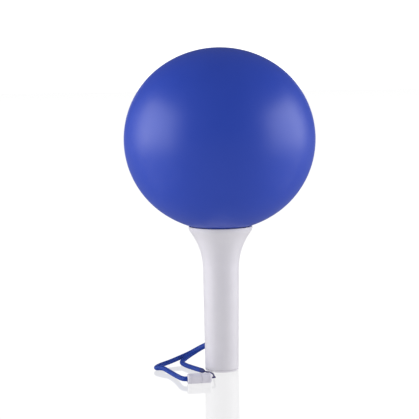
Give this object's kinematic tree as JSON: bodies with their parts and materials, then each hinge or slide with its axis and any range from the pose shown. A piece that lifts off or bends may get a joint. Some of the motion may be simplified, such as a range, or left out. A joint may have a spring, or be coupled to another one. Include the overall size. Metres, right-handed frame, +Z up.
{
  "type": "globe light stick",
  "caption": "Hand-held light stick: a satin blue globe on a flared white grip that stands on its base cap, with a push switch inside the base, a wrist cord and a pull-apart barrel clasp.",
  "frame": {"origin": "centre of the flat base that the stick stands on", "axes": "+Z up through the grip and globe, -Y the front, +Y the side with the strap lug"},
  "size_m": [0.125, 0.125, 0.2122],
  "materials": {
    "globe_plastic": "satin blue translucent moulding, same colour through",
    "white_plastic": "fine satin white moulding",
    "inner_plastic": "plain natural moulding",
    "diffuser": "milky translucent moulding",
    "foam": "soft black foam ring",
    "seal_rubber": "black rubber",
    "board": "white solder mask",
    "switch_plastic": "black moulding",
    "led": "white case with a yellow window",
    "chip": "small dark parts",
    "steel": "bright zinc plate",
    "brass": "plain brass",
    "cell_can": "shrink-wrapped can, at a cell's mean density",
    "button_rubber": "grey rubber-faced button",
    "blue_cord": "tight round braid, blue",
    "dark_string": "thin twisted string, dark blue",
    "ferrule": "dark blue shrunk sleeve",
    "clasp": "white moulding"
  },
  "bodies": {
    "grip": {"grip_shell": "white_plastic", "lock_ring": "inner_plastic", "globe_gasket": "foam", "strap_lug": "white_plastic", "strap_pin": "steel", "lamp_carrier": "inner_plastic", "led_board": "board", "leds": "led", "board_parts": "chip", "carrier_screws": "steel", "lamp_cover": "diffuser", "top_contact": "brass", "ground_strip": "brass", "battery_can": "cell_can", "battery_button": "steel", "wrist_cord": "blue_cord", "cord_ferrule": "ferrule", "wrist_string": "dark_string", "clasp_socket": "clasp"},
    "globe": {"globe_shell": "globe_plastic"},
    "cap": {"base_cap": "white_plastic", "cap_seal": "seal_rubber", "switch_body": "switch_plastic", "switch_board": "board", "ring_nut": "brass", "contact_spring": "steel"},
    "button": {"power_button": "button_rubber", "switch_plunger": "switch_plastic"},
    "plug": {"clasp_plug": "clasp"}
  },
  "joints": [
    {"name": "globe_twist", "type": "hinge", "parent": "grip", "child": "globe", "pos_m": [0, 0, 0.09], "axis": [0, 0, 1], "range_deg": [0, 35]},
    {"name": "cap_twist", "type": "hinge", "parent": "grip", "child": "cap", "pos_m": [0, 0, 0.003], "axis": [0, 0, 1], "range_deg": [0, 60]},
    {"name": "button_push", "type": "slide", "parent": "cap", "child": "button", "axis": [0, 0, 1], "range_m": [0, 0.0012], "stiffness_N_per_m": 1500, "springref_m": -0.0006},
    {"name": "clasp_pull", "type": "slide", "parent": "grip", "child": "plug", "axis": [0.9781, 0.2079, 0], "range_m": [0, 0.008], "deforming": ["wrist_string"]}
  ]
}
